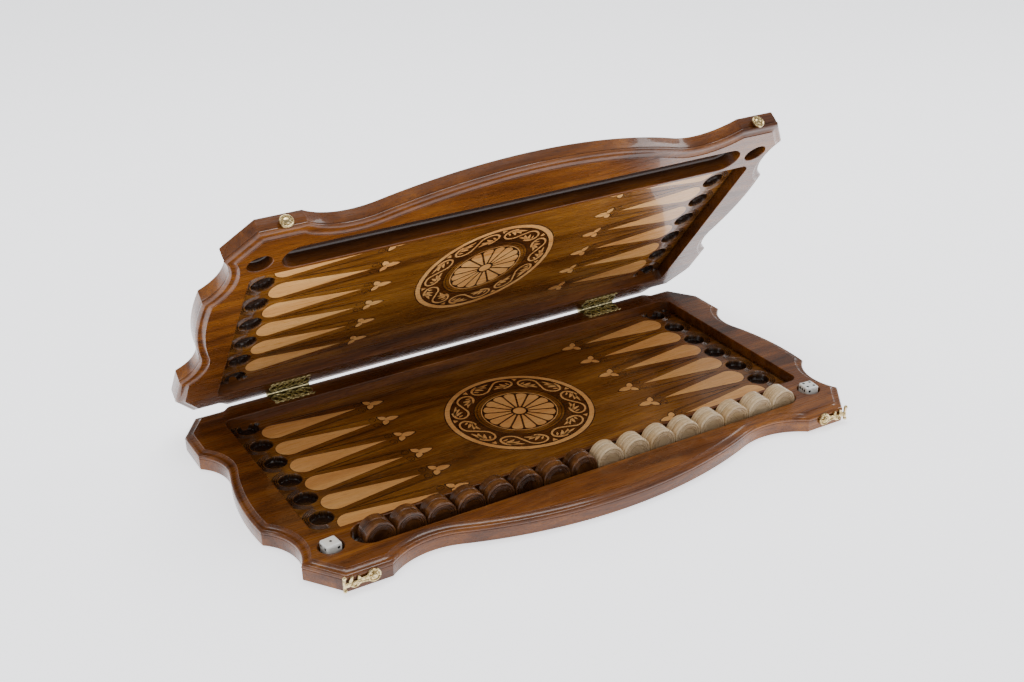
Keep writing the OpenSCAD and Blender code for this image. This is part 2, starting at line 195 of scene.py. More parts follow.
def lacquered_wood(name, deep, middle, bright, stain_and_shade):
    """Open-pored wood under clear lacquer. Broad figure runs along the grain, then fine fibres,
    then short dark pores; the darkening attribute pulls the colour towards the darkest tone, as
    painted shade in recesses, grooves and hollows and as a real darker tone on the carved ends."""
    finish = Finish(name, Coat_Weight=0.42, Coat_Roughness=0.06, Specular_IOR_Level=0.28)
    grain = finish.attribute("grain", "Vector")
    burnt = finish.attribute("burnt", "Fac")
    figure = finish.noise(grain, (5, 46, 46), 5, 0.62, 0.9)
    fibre = finish.noise(grain, (26, 620, 620), 3, 0.6)
    pore = finish.noise(grain, (120, 1700, 1700), 2, 0.5)
    colour = finish.node(
        "ShaderNodeValToRGB", {"stops": [(0.3, deep), (0.72, bright), (0.5, middle)]}, {"Fac": figure}
    )
    colour = finish.mix(finish.range(fibre, 0.45, 0.72) * 0.45, colour, deep)
    pores = finish.range(pore, 0.56, 0.68)
    colour = finish.mix(pores * 0.55, colour, stain_and_shade)
    # Painted shade and stained tone: the darkening attribute mixes the colour towards the darkest tone.
    finish.feed("Base Color", finish.mix(burnt, colour, stain_and_shade))
    finish.feed("Roughness", finish.range(fibre, 0.3, 0.7, 0.24, 0.36))
    finish.bump(pores * -1 + figure * 0.3, 0.12, 0.2 * mm)
    return finish.material


frame_wood = lacquered_wood(
    "frame_wood", (0.05, 0.013, 0.003), (0.15, 0.045, 0.007), (0.29, 0.1, 0.014), (0.014, 0.005, 0.002)
)

white_sheet = Finish("white_sheet", Roughness=0.8, Emission_Strength=1.5)
weave = white_sheet.noise(white_sheet.node("ShaderNodeTexCoord", {}, {}, 3), (9, 9, 9), 3)
white_sheet.feed("Base Color", white_sheet.mix(weave, (0.83, 0.83, 0.85), (0.88, 0.88, 0.9)))
white_sheet.feed("Emission Color", (0.95, 0.96, 1.0, 1))
sheet.materials.append(white_sheet.material)


def in_upper_half(points):
    """Mirrors points in the rim plane and turns them open about the hinge axis."""
    y = points[:, 1] - axis_y
    z = axis_z - points[:, 2]
    turned = points.copy()
    turned[:, 1] = axis_y + y * np.cos(lid_open) + z * np.sin(lid_open)
    turned[:, 2] = axis_z - y * np.sin(lid_open) + z * np.cos(lid_open)
    return turned


def smoothstep(value, low, high):
    """Rises from 0 at low to 1 at high as 3t squared minus 2t cubed."""
    t = np.clip((value - low) / (high - low), 0, 1)
    return t * t * (3 - 2 * t)


def make_piece(name, points, faces, body, material, slot, stands_for=(), burnt=None, crease=35, grain=None):
    """Puts arrays into a mesh object that rides on a body, with its grain and darkening attributes."""
    mesh = bpy.data.meshes.new(name)
    mesh.from_pydata(points.tolist(), [], faces)
    mesh.polygons.foreach_set("use_smooth", np.ones(len(mesh.polygons), dtype=bool))
    mesh.update()
    mesh.set_sharp_from_angle(angle=np.radians(crease))
    where = mesh.attributes.new("grain", "FLOAT_VECTOR", "POINT")
    where.data.foreach_set("vector", (points if grain is None else grain).astype(np.float32).ravel())
    shade = mesh.attributes.new("burnt", "FLOAT", "POINT")
    burnt = np.zeros(len(points)) if burnt is None else burnt
    shade.data.foreach_set("value", burnt.astype(np.float32))
    piece = bpy.data.objects.new(name, mesh)
    bpy.context.collection.objects.link(piece)
    mesh.materials.append(material)
    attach(piece, body)
    if stands_for:
        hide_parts(*stands_for)
    return piece


def make_both(name, points, faces, material, slot, stands_for=(), burnt=None, crease=35):
    """The same piece in the lower half and, mirrored and turned open, in the upper half, which is
    cut from another part of the plank."""
    offset = np.array([0.37, 0.21, 0.0])
    make_piece("lower_" + name, points, faces, "lower_case", material, slot,
               ["lower_" + n for n in stands_for], burnt, crease, points)
    flipped = [face[::-1] for face in faces]
    make_piece("upper_" + name, in_upper_half(points), flipped, "lid", material, slot,
               ["upper_" + n for n in stands_for], burnt, crease, points + offset)


def unit(x, y):
    return np.array([x, y]) / np.hypot(x, y)


waist = (np.array([end_x + 27 * mm, 38 * mm]), 42 * mm)
belly = (np.array([end_x - 254 * mm, -45 * mm]), 251 * mm)
notch = (np.array([end_x + 26.3 * mm, -109.7 * mm]), 48 * mm)
bow = (np.array([0, 420 * mm - bow_y]), 420 * mm)
scoop_x, scoop_r = 172.9 * mm, 70 * mm
scoop = (np.array([scoop_x, bow[0][1] - np.sqrt((bow[1] + scoop_r) ** 2 - scoop_x**2)]), scoop_r)
outline = [
    ("flat", np.array([0, back_y]), unit(0, 1)),
    ("flat", np.array([end_x, back_y - 29.5 * mm]), unit(29.5, 19.5)),
    ("flat", np.array([end_x, 0]), unit(1, 0)),
    ("hollow", *waist),
    ("round", *belly),
    ("hollow", *notch),
    ("flat", np.array([end_x, 54 * mm - front_y]), unit(54, -38.7)),
    ("flat", np.array([0, -front_y]), unit(0, -1)),
    ("hollow", *scoop),
    ("round", *bow),
]
near_corners = np.array([
    (275.5, 139), (295, 109.5), (295, 70), (282, 26), (290, -73),
    (280, -134), (256.3, -168), (216, -168), (148, -158),
]) * mm
smooth_joins = (3, 8)


def off_edge(edge, point, inset):
    """How far a point lies outside an edge that is moved in by inset, and the way out."""
    kind, at, size = edge
    if kind == "flat":
        return (point - at) @ size + inset, size
    way = (point - at) / np.linalg.norm(point - at)
    if kind == "round":
        return np.linalg.norm(point - at) - (size - inset), way
    return size + inset - np.linalg.norm(point - at), -way


def corner(number, inset):
    """Where edge number meets the next one: on the line of centres where they run smoothly into
    each other, and otherwise by Newton's method from the corner's rough place."""
    first, second = outline[number], outline[number + 1]
    if number in smooth_joins:
        ball, hole = (first, second) if first[0] == "round" else (second, first)
        return ball[1] + (ball[2] - inset) * unit(*(hole[1] - ball[1]))
    point = near_corners[number].copy()
    for _ in range(12):
        (gap_a, way_a), (gap_b, way_b) = off_edge(first, point, inset), off_edge(second, point, inset)
        point = point - np.linalg.solve(np.array([way_a, way_b]), np.array([gap_a, gap_b]))
    return point


joint_y = -104.5 * mm
joint_x = 255.5 * mm
run_out = (240 * mm, 252 * mm)


def stretch(edge, start, end, count, inset):
    """Points from start up to but not at end, evenly along a straight or round edge."""
    t = np.arange(count)[:, None] / count
    kind, at, size = edge
    if kind == "flat":
        return start + (end - start) * t
    from_angle, to_angle = [np.arctan2(*(p - at)[::-1]) for p in (start, end)]
    angle = from_angle + ((to_angle - from_angle + np.pi) % (2 * np.pi) - np.pi) * t
    radius = size - inset if kind == "round" else size + inset
    return at + radius * np.hstack([np.cos(angle), np.sin(angle)])


def half_outline(inset):
    """The right half of the outline at an inset, clockwise from the middle of the back. The back
    edge is straight, and its moulding fades out before the hinges."""
    back_marks = [(0, 10), (238, 14), (252, 2), (255.5, 5)]
    marks = [np.array([x * mm, back_y - inset]) for x, _ in back_marks]
    corners = [corner(n, inset) for n in range(9)]
    angle = np.arcsin((joint_y - notch[0][1]) / (notch[1] + inset))
    cut = notch[0] + (notch[1] + inset) * np.array([-np.cos(angle), np.sin(angle)])
    stops = [*marks, *corners[:5], cut, *corners[5:], np.array([0, inset - bow_y])]
    edges = [0, 0, 0, 0, 1, 2, 3, 4, 5, 5, 6, 7, 8, 9]
    counts = [n for _, n in back_marks] + [5, 6, 16, 26, 8, 12, 8, 6, 18, 26]
    parts = [
        stretch(outline[e], a, b, n, inset) for e, a, b, n in zip(edges, stops, stops[1:], counts)
    ]
    path = np.vstack([*parts, stops[-1][None]])
    on_back = np.arange(len(path)) < sum(counts[:3])
    path[on_back, 1] += inset * (1 - smoothstep(path[on_back, 0], *run_out))
    return path


def full_outline(inset):
    """Both halves of the outline as one closed clockwise loop."""
    right = half_outline(inset)
    return np.vstack([right, (right * [-1, 1])[-2:0:-1]])


def moulding_profile():
    """Inset and height from the rim to the underside: a small step, a hollow slope, a rounded
    nose, a narrow fillet, the upright side and a broken lower edge."""
    t = np.linspace(0, 1, 7)
    slope = np.stack([7.35 - 4.3 * t, 16.95 - 1.25 * t - 0.35 * np.sin(np.pi * t)], 1)
    turn = np.radians(np.linspace(90, -18, 9))
    nose = np.stack([3.05 - 3.05 * np.cos(turn), 13.1 + 2.6 * np.sin(turn)], 1)
    rim = [(8.1, 18), (7.9, 17.95), (7.75, 17.8), (7.7, 17.2)]
    side = [
        (0.75, 12.0), (0.75, 11.7), (0.4, 11.5), (0.3, 11.2), (0.3, 6), (0.4, 1.3), (0.8, 0.6), (1.6, 0),
    ]
    return np.vstack([rim, slope, nose[1:], side]) * mm


def loop_band(levels, first):
    """Quads between closed loops of equal length, each below the last."""
    rows, count = levels
    n = np.arange(count)
    after = (n + 1) % count
    quads = [
        np.stack([first + r * count + n, first + r * count + after,
                  first + (r + 1) * count + after, first + (r + 1) * count + n], 1)
        for r in range(rows - 1)
    ]
    return np.vstack(quads).tolist()


def inside(loop, points):
    """Which points lie inside a closed loop, by counting the edges crossed to their right."""
    a, b = loop, np.roll(loop, -1, axis=0)
    x, y = points[:, :1], points[:, 1:2]
    spans = (a[:, 1] > y) != (b[:, 1] > y)
    rise = np.where(b[:, 1] == a[:, 1], 1, b[:, 1] - a[:, 1])
    return (spans & (x < a[:, 0] + (y - a[:, 1]) * (b[:, 0] - a[:, 0]) / rise)).sum(1) % 2 == 1


def flat_fill(outer, holes, extra, height, up):
    """Triangles that fill an outer loop round its holes, with extra edges kept, at one height."""
    loops = [outer, *holes]
    starts = np.cumsum([0, *(len(loop) for loop in loops)])
    edges = [
        (s + k, s + (k + 1) % len(loop)) for s, loop in zip(starts, loops) for k in range(len(loop))
    ]
    places = [Vector(p) for p in np.vstack(loops)]
    made = delaunay_2d_cdt(places, edges + [tuple(e) for e in extra], [], 1, 1e-7)
    flat = np.array([tuple(p) for p in made[0]])
    triangles = np.array(made[2])
    middles = flat[triangles].mean(1)
    keep = inside(outer, middles)
    for hole in holes:
        keep &= ~inside(hole, middles)
    triangles = triangles[keep]
    a, b, c = (flat[triangles[:, k]] for k in range(3))
    turn = (b - a)[:, 0] * (c - a)[:, 1] - (b - a)[:, 1] * (c - a)[:, 0]
    wrong = (turn < 0) == up
    triangles[wrong] = triangles[wrong][:, ::-1]
    return np.column_stack([flat, np.full(len(flat), height)]), triangles.tolist()


def rounded_box_loop(half, centre, radius, margin, steps=10):
    """A rectangle with round corners, grown by margin, as an anticlockwise loop."""
    quarter = np.linspace(0, np.pi / 2, steps + 1)
    parts = []
    for turn, (sx, sy) in enumerate(((1, 1), (-1, 1), (-1, -1), (1, -1))):
        angle = quarter + turn * np.pi / 2
        at = np.array(centre) + np.array([sx, sy]) * (np.array(half) - radius)
        parts.append(at + (radius + margin) * np.stack([np.cos(angle), np.sin(angle)], 1))
    return np.vstack(parts)


field_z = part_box("lower_point_inlays")[1][2]
field_half = (joint_x, 109.55 * mm)
field_centre = (0, 5.05 * mm)
trough_half = (231 * mm, 15.75 * mm)
trough_centre = (0, -124.25 * mm)
trough_z = 3.7 * mm
pocket_r = 11 * mm
pocket_x, pocket_y = 250.5 * mm, -126.05 * mm
pocket_z = 8.5 * mm
lip = 0.8 * mm
lip_turn = np.radians(np.linspace(0, 90, 5))
lip_profile = np.stack([lip * (1 - np.sin(lip_turn)), half_h - lip * (1 - np.cos(lip_turn))], 1)


def sunk_wall(loop_at, floor, foot):
    """Loops of a sunk wall: a rounded lip at the rim, upright down to the foot's fillet, then the
    floor. loop_at gives the loop for a margin."""
    turn = np.radians(np.linspace(0, 90, 4))
    foot_profile = np.stack([-foot * (1 - np.cos(turn)), floor + foot * (1 - np.sin(turn))], 1)
    profile = np.vstack([lip_profile, foot_profile])
    rings = [np.column_stack([loop_at(margin), np.full(len(loop_at(0)), z)]) for margin, z in profile]
    return np.vstack(rings), len(profile), len(rings[0])


def field_loop(margin):
    return rounded_box_loop(field_half, field_centre, 8 * mm, margin)


def trough_loop(margin):
    return rounded_box_loop(trough_half, trough_centre, trough_half[1] - 1e-5, margin, 16)


def pocket_loop(side):
    centre = (side * pocket_x, pocket_y)
    return lambda margin: rounded_box_loop((pocket_r, pocket_r), centre, pocket_r, margin)


parts = []
profile = moulding_profile()
rings = [np.column_stack([full_outline(d), np.full(len(full_outline(0)), z)]) for d, z in profile]
around = len(rings[0])
parts.append((np.vstack(rings), loop_band((len(rings), around), 0)))
rim_loop, foot_loop = rings[0][:, :2], rings[-1][:, :2]
rim_holes = [field_loop(lip), trough_loop(lip), pocket_loop(-1)(lip), pocket_loop(1)(lip)]


def joint_edges(outer, hole):
    """Edges of the glue joints between rails: from the outline to the field's nearest corner."""
    found = []
    for side in (-1, 1):
        for at, axis in ((joint_y, 1), (side * joint_x, 0)):
            picks = []
            for loop in (outer, hole):
                near = (loop[:, 0] * side > 0) & (loop[:, 1] * (-1 if axis else 1) > 0)
                picks.append(int(np.argmin(np.where(near, np.abs(loop[:, axis] - at), 9))))
            found.append((picks[0], len(outer) + picks[1]))
    return found


parts.append(flat_fill(rim_loop, rim_holes, joint_edges(rim_loop, rim_holes[0]), half_h, True))
under_hole = field_loop(0)
parts.append(flat_fill(foot_loop, [under_hole], joint_edges(foot_loop, under_hole), 0.0, False))
for loop_at, floor, foot, has_floor in (
    (field_loop, 0.0, 1e-6, False),
    (trough_loop, trough_z, 3 * mm, True),
    (pocket_loop(-1), pocket_z, 2 * mm, True),
    (pocket_loop(1), pocket_z, 2 * mm, True),
):
    points, rows, count = sunk_wall(loop_at, floor, foot)
    faces = loop_band((rows, count), 0)
    if has_floor:
        faces.append(list(range((rows - 1) * count, rows * count)))
    parts.append((points, faces))

all_points = np.vstack([p for p, _ in parts])
offsets = np.cumsum([0, *(len(p) for p, _ in parts)])
all_faces = [[v + o for v in face] for o, (_, faces) in zip(offsets, parts) for face in faces]
middles = np.array([all_points[face].mean(0) for face in all_faces])
in_front = middles[:, 1] < joint_y + 0.1 * mm
in_back = (middles[:, 1] > -joint_y) & (np.abs(middles[:, 0]) < joint_x)
which = np.where(in_front, 0, np.where(in_back, 1, np.where(middles[:, 0] < 0, 2, 3)))
# Painted shade in the frame's recesses: the walls and floors of the field, trough and pockets darken with
# depth below the rim, and the field's back wall, which faces the light, gets only a tenth of it.
sunk = smoothstep(half_h - all_points[:, 2], 0.3 * mm, 4 * mm) * 0.88
sunk[:offsets[3]] = 0
lit_wall = (all_points[:, 1] > -joint_y) & (np.abs(all_points[:, 0]) < joint_x - 6 * mm)
sunk[lit_wall] *= 0.1
for number, rail in enumerate(("front_rail", "back_rail", "left_end", "right_end")):
    chosen = [face for face, part in zip(all_faces, which) if part == number]
    used, places = np.unique(np.concatenate(chosen), return_inverse=True)
    splits = np.split(places, np.cumsum([len(face) for face in chosen])[:-1])
    faces = [face.tolist() for face in splits]
    make_both(rail, all_points[used], faces, frame_wood, "frame_wood", [rail], sunk[used], 28)

# Playing fields.
# One wide board in each half. Round pockets are milled deep into the ends between the points, with
# three fine arcs behind each and two small eyes at the back corners. Painted shade darkens them nearly
# black the deeper they are cut and runs as a dark band along the end walls; the ends are stained darker.
field_wood = lacquered_wood(
    "field_wood", (0.075, 0.022, 0.004), (0.21, 0.078, 0.012), (0.38, 0.165, 0.03), (0.014, 0.005, 0.002)
)
row_pitch = 35 * mm
rows = (np.arange(6) - 2.5) * row_pitch
point_x = joint_x - 40.2 * mm
point_r = 12.5 * mm
point_l = 82.3 * mm
carve_x = joint_x - 20 * mm
carve_depth, arc_depth, eye_depth = 5.8 * mm, 0.9 * mm, 3 * mm
arc_radii = (12.4 * mm, 14.3 * mm, 16.2 * mm)
arc_half_width = 0.75 * mm
carve_rows = np.arange(-2, 4) * row_pitch
eyes = ((joint_x - 30.5 * mm, 110.6 * mm, 2.6 * mm), (joint_x - 5 * mm, 109.6 * mm, 2.6 * mm))


def carving(x, y):
    """Height of the carved ends below the field, and how dark they are painted: the ends stained a
    little darker, painted shade along the end walls, and painted shade in the hollows by their depth.
    Pockets, arcs and eyes are functions of the distance from their centres, and the deepest one counts."""
    out = np.abs(x)
    height = np.zeros_like(x)
    for row in carve_rows:
        r = np.hypot(out - carve_x, y - row)
        height = np.minimum(height, -carve_depth * smoothstep(-r, -10.9 * mm, -9.7 * mm))
        behind = smoothstep(out, carve_x - 4 * mm, carve_x + 3 * mm)
        for radius in arc_radii:
            arc = np.clip(1 - ((r - radius) / arc_half_width) ** 2, 0, 1)
            height = np.minimum(height, -arc_depth * arc * behind)
    for eye_x, eye_y, eye_r in eyes:
        r = np.hypot(out - eye_x, y - eye_y)
        inside_eye = smoothstep(-r, -eye_r - 0.5 * mm, -eye_r + 0.9 * mm)
        height = np.minimum(height, -eye_depth * inside_eye)
    # Painted shade: a dark band along the end walls, and the hollows darkened by their depth; the ends
    # beyond the points are also stained a little darker.
    border = smoothstep(out, joint_x - 4.5 * mm, joint_x - 2 * mm) * 0.85
    ends = smoothstep(out, 226 * mm, 240 * mm) * 0.22
    hollow_shade = smoothstep(-height, 0.05 * mm, 0.9 * mm)
    return height, np.clip(np.maximum(border, ends + hollow_shade), 0, 0.97)


fine_step = 0.52 * mm
fine_x = np.arange(joint_x - 36 * mm, joint_x - 0.1 * mm, fine_step)
column_x = np.concatenate([[-joint_x], -fine_x[::-1], np.linspace(-210, 210, 43) * mm, fine_x, [joint_x]])
row_y = np.linspace(-104.5 * mm, 114.6 * mm, 422)
x, y = np.meshgrid(column_x, row_y)
height, stain_and_shade = carving(x, y)
top = np.stack([x, y, field_z + height], -1).reshape(-1, 3)
wide, deep = len(column_x), len(row_y)
cell = (np.arange(deep - 1)[:, None] * wide + np.arange(wide - 1)).ravel()
faces = np.stack([cell, cell + 1, cell + wide + 1, cell + wide], 1).tolist()
grid = np.arange(wide * deep).reshape(deep, wide)
border = np.concatenate([grid[0, :-1], grid[:-1, -1], grid[-1, :0:-1], grid[:0:-1, 0]])
below = top[border] * [1, 1, 0]
count, base = len(border), len(top)
n = np.arange(count)
faces += np.stack([border[n], base + n, base + (n + 1) % count, border[(n + 1) % count]], 1).tolist()
faces.append((base + n[::-1]).tolist())
make_both("field_panel", np.vstack([top, below]), faces, field_wood, "field_wood", ["field_panel"],
          np.concatenate([stain_and_shade.ravel(), np.zeros(count)]), 50)

# Inlaid points.
# Drop-shaped strips of pale veneer in rows of six, let in flush, each with a three-leaved finial
# ahead of its tip. Fine burnt lines run round them, between them and into a pair of curls.
inlay_wood = lacquered_wood(
    "pale_veneer", (0.64, 0.29, 0.085), (0.8, 0.42, 0.14), (0.88, 0.52, 0.2), (0.5, 0.2, 0.055)
)
burnt_wood = lacquered_wood(
    "burnt_line", (0.012, 0.004, 0.002), (0.02, 0.006, 0.003), (0.035, 0.011, 0.004), (0.008, 0.003, 0.002)
)
light_lift, line_lift, ground_lift = 0.1 * mm, 0.05 * mm, 0.025 * mm
veneer = 0.5 * mm


def strip(path, half_width, lift, closed=False):
    """A flat strip along a path in the field's plane: the path moved to either side by the half
    width, at the lifted top and a veneer below it, with its ends closed."""
    path = np.asarray(path, float)
    half_width = np.broadcast_to(half_width, len(path))[:, None]
    if closed:
        along = np.roll(path, -1, axis=0) - np.roll(path, 1, axis=0)
    else:
        along = np.gradient(path, axis=0)
    along = along / np.linalg.norm(along, axis=1, keepdims=True)
    side = np.stack([-along[:, 1], along[:, 0]], 1) * half_width
    high = np.full((len(path), 1), field_z + lift)
    low = high - veneer
    ring = np.stack([
        np.hstack([path + side, high]), np.hstack([path - side, high]),
        np.hstack([path - side, low]), np.hstack([path + side, low]),
    ], 1)
    count = len(path)
    i = np.arange(count if closed else count - 1)
    after = (i + 1) % count
    corners = [(k, (k + 1) % 4) for k in range(4)]
    quads = [np.stack([4 * i + a, 4 * i + b, 4 * after + b, 4 * after + a], 1) for a, b in corners]
    faces = np.vstack(quads).tolist()
    if not closed:
        last = 4 * (count - 1)
        faces += [[3, 2, 1, 0], [last, last + 1, last + 2, last + 3]]
    return ring.reshape(-1, 3), faces


def gather(shapes):
    """Joins several point and face lists into one."""
    starts = np.cumsum([0, *(len(points) for points, _ in shapes)])
    faces = [[v + start for v in face] for start, (_, faces) in zip(starts, shapes) for face in faces]
    return np.vstack([points for points, _ in shapes]), faces


def leaf(base, tip, half_width, lift, fullness):
    """A leaf from base to tip, widest before its middle: width follows a sine's power."""
    t = np.linspace(0, 1, 12)
    path = np.outer(1 - t, base) + np.outer(t, tip)
    return strip(path, half_width * np.sin(np.pi * np.clip(t, 0.01, 0.99) ** 0.75) ** fullness, lift)


def drop(grow, lift, direction, row):
    """A drop: a circle's edge from its back past the half circle, then straight to the tip."""
    slope = np.arcsin(point_r / point_l)
    turn = np.linspace(0.04, np.pi / 2 + slope, 18)
    radius = point_r + grow
    to_tip = np.linspace(radius * np.sin(slope), point_l + grow * 4, 9)[1:]
    along = np.concatenate([-radius * np.cos(turn), to_tip])
    straight = np.linspace(radius * np.cos(slope), 0.05 * mm, 9)[1:]
    width = np.concatenate([radius * np.sin(turn), straight])
    path = np.stack([direction * (point_x - along), np.full(len(along), row)], 1)
    return strip(path, width, lift)


def curl(centre, start_r, end_r, start, turns, half_width, lift):
    """A spiral whose radius shrinks evenly as it turns."""
    t = np.linspace(0, 1, 34)
    angle = start + turns * 2 * np.pi * t
    radius = start_r + (end_r - start_r) * t
    path = np.array(centre) + radius[:, None] * np.stack([np.cos(angle), np.sin(angle)], 1)
    return strip(path, half_width * (1 - 0.5 * t), lift)


pale, burnt = [], []
for side in (-1, 1):
    for row in rows:
        pale.append(drop(0, light_lift, side, row))
        burnt.append(drop(0.55 * mm, line_lift, side, row))
        base, tip = (side * 117.5 * mm, row), (side * 103.6 * mm, row)
        pale.append(leaf(base, tip, 3.7 * mm, light_lift, 0.7))
        base, tip = (side * 118.6 * mm, row), (side * 102.2 * mm, row)
        burnt.append(leaf(base, tip, 4.5 * mm, line_lift, 0.7))
        for up in (-1, 1):
            base = (side * 116.8 * mm, row + up * 1.2 * mm)
            tip = (side * 121.6 * mm, row + up * 8.2 * mm)
            pale.append(leaf(base, tip, 3.1 * mm, light_lift, 0.6))
            tip = (side * 122.8 * mm, row + up * 9.4 * mm)
            burnt.append(leaf(base, tip, 4.0 * mm, line_lift, 0.6))
            start = np.pi / 2 * up if side > 0 else np.pi - np.pi / 2 * up
            centre = (side * 129 * mm, row + up * 6 * mm)
            burnt.append(curl(centre, 4.6 * mm, 1.2 * mm, start, 1.5 * up * side, 0.42 * mm, line_lift))
            for offset in (0, 1.9):
                start = (side * (212 - offset * 3) * mm, row + up * (17.5 - offset * 0.35) * mm)
                end = (side * (129 - offset) * mm, row + up * (10.6 - offset) * mm)
                burnt.append(strip(np.linspace(start, end, 12), 0.3 * mm, line_lift))
make_both("point_inlays", *gather(pale), inlay_wood, "light_inlay", ["point_inlays"])
make_both("point_outlines", *gather(burnt), burnt_wood, "field_wood")

# Medallion.
# A round inlay: a pale outer ring, a band of seven S-scrolls with palmettes on a dark ground, and
# a rosette of sixteen petals round a button. Burnt rings divide them.
scrolls = 7
scroll_r = 56.3 * mm
lobe_r = 7.3 * mm
lobe_gap = 9.3 * mm
lobe_stretch = 1.34
petals = 16
petal_end = 35 * mm
round_turn = np.linspace(0, 2 * np.pi, 181)[:-1]


def hoop(radius, half_width, lift):
    """A flat ring."""
    path = radius * np.stack([np.cos(round_turn), np.sin(round_turn)], 1)
    return strip(path, half_width, lift, True)


def disc(radius, lift):
    """A full circle as a strip as wide as the chord."""
    angle = np.linspace(0.02, np.pi - 0.02, 41)
    path = np.stack([-radius * np.cos(angle), np.zeros(41)], 1)
    return strip(path, radius * np.sin(angle), lift)


def petal(angle, grow, lift):
    """A wedge with a round outer end: its width grows with the radius, then closes as a circle."""
    tip = petal_end + grow
    cap = 4.6 * mm
    r = np.linspace(8.4 * mm - grow, tip, 22)
    width = r * np.tan(np.pi / petals) - 0.95 * mm + grow
    width = width * np.sqrt(np.clip(1 - np.clip((r - tip + cap) / cap, 0, 1) ** 2.4, 0.0004, 1))
    path = r[:, None] * np.array([np.cos(angle), np.sin(angle)])
    return strip(path, np.maximum(width, 0.05 * mm), lift)


def bent(points, number, mirrored):
    """Lays a drawing made along a straight line round the scroll band's circle."""
    flip = -1 if mirrored else 1
    angle = 2 * np.pi * (number + 0.5) / scrolls - np.pi / 2 + flip * points[:, 0] / scroll_r
    radius = scroll_r + points[:, 1]
    return radius[:, None] * np.stack([np.cos(angle), np.sin(angle)], 1)


def s_scroll():
    """An S: most of an ellipse, the inner tangent, and most of the other ellipse. Both are circles
    stretched along the band."""
    cross = np.arccos(lobe_r / lobe_gap)
    first = np.linspace(np.radians(84), 2 * np.pi - cross, 40)
    second = np.linspace(np.pi - cross, np.radians(-96), 40)
    left = np.stack([-lobe_gap + lobe_r * np.cos(first), lobe_r * np.sin(first)], 1)
    right = np.stack([lobe_gap + lobe_r * np.cos(second), lobe_r * np.sin(second)], 1)
    return np.vstack([left, right]) * [lobe_stretch, 1]


def blade(start, end, bend, half_width):
    """A leaf's path bowed sideways by bend, and its width, fullest past the middle."""
    t = np.linspace(0, 1, 12)[:, None]
    start, end = np.array(start) * mm, np.array(end) * mm
    way = (end - start) / np.linalg.norm(end - start)
    path = start + (end - start) * t + np.array([-way[1], way[0]]) * bend * mm * np.sin(np.pi * t)
    return path, half_width * mm * np.sin(np.pi * np.clip(t[:, 0], 0.06, 0.94) ** 0.9) ** 0.6


pale = [
    hoop(69.4 * mm, 2.3 * mm, light_lift), hoop(36.6 * mm, 0.5 * mm, light_lift),
    disc(6.2 * mm, light_lift),
]
burnt = [
    hoop(72.2 * mm, 0.6 * mm, line_lift), hoop(66.6 * mm, 0.7 * mm, line_lift),
    hoop(43.8 * mm, 0.6 * mm, line_lift), hoop(40.9 * mm, 0.4 * mm, line_lift),
    disc(37.7 * mm, line_lift),
]
ground = [hoop(55.2 * mm, 11 * mm, ground_lift)]
for number in range(petals):
    turn = 2 * np.pi * (number + 0.5) / petals
    pale.append(petal(turn, 0, light_lift))
    gap = turn + np.pi / petals
    rays = np.linspace(9 * mm, 34.5 * mm, 8)[:, None] * np.array([np.cos(gap), np.sin(gap)])
    ground.append(strip(rays, 0.42 * mm, 0.5 * (light_lift + line_lift)))
scroll = s_scroll()
thickness = 0.95 * mm + 0.7 * mm * np.abs(np.linspace(-1, 1, len(scroll))) ** 5
blades = (
    ((-15.2, 6.6), (-0.4, 6.0), -0.9, 1.35), ((-14.2, 5.4), (-4.4, 1.4), 0.9, 1.7),
    ((-16.2, 3.9), (-9.8, -1.4), 0.8, 1.45), ((-19.4, 2.4), (-16.0, -1.6), 0.3, 1.0),
)
for number in range(scrolls):
    mirrored = number % 2 == 1 or number == 4
    pale.append(strip(bent(scroll, number, mirrored), thickness, light_lift))
    burnt.append(strip(bent(scroll, number, mirrored), thickness + 0.75 * mm, line_lift))
    for end in (-1, 1):
        for start, tip, bow, half_width in blades:
            path, width = blade(start, tip, bow, half_width)
            pale.append(strip(bent(-end * path, number, mirrored), width, light_lift))
            burnt.append(strip(bent(-end * path, number, mirrored), width + 0.5 * mm, line_lift))
    filler = 2 * np.pi * number / scrolls - np.pi / 2
    way = np.array([np.cos(filler), np.sin(filler)])
    path = np.linspace(65.4, 61.2, 5)[:, None] * mm * way
    pale.append(strip(path, np.linspace(2.7, 0.2, 5) * mm, light_lift))
ground_wood = lacquered_wood(
    "scroll_ground", (0.03, 0.009, 0.002), (0.075, 0.022, 0.004), (0.14, 0.045, 0.008), (0.012, 0.004, 0.002)
)
make_both("medallion_inlay", *gather(pale), inlay_wood, "light_inlay", ["medallion_inlay"])
make_both("medallion_lines", *gather(burnt), burnt_wood, "field_wood")
make_both("medallion_ground", *gather(ground), ground_wood, "field_wood")

# Checkers.
# Thirty-two turned wooden discs, half of them dark and half light. Both faces have a rounded rim,
# three fine grooves and a shallow bowl. Each stands on its edge in the trough.
dark_wood = lacquered_wood(
    "dark_checker_wood", (0.03, 0.009, 0.003), (0.12, 0.042, 0.01), (0.26, 0.1, 0.024), (0.006, 0.003, 0.002)
)
light_wood = lacquered_wood(
    "light_checker_wood", (0.56, 0.38, 0.19), (0.72, 0.55, 0.33), (0.8, 0.66, 0.44), (0.2, 0.1, 0.04)
)
checker_box = np.array(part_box("dark_checker_01"))
checker_t = checker_box[1][1] - checker_box[0][1]
checker_r = (checker_box[1][2] - checker_box[0][2]) / 2


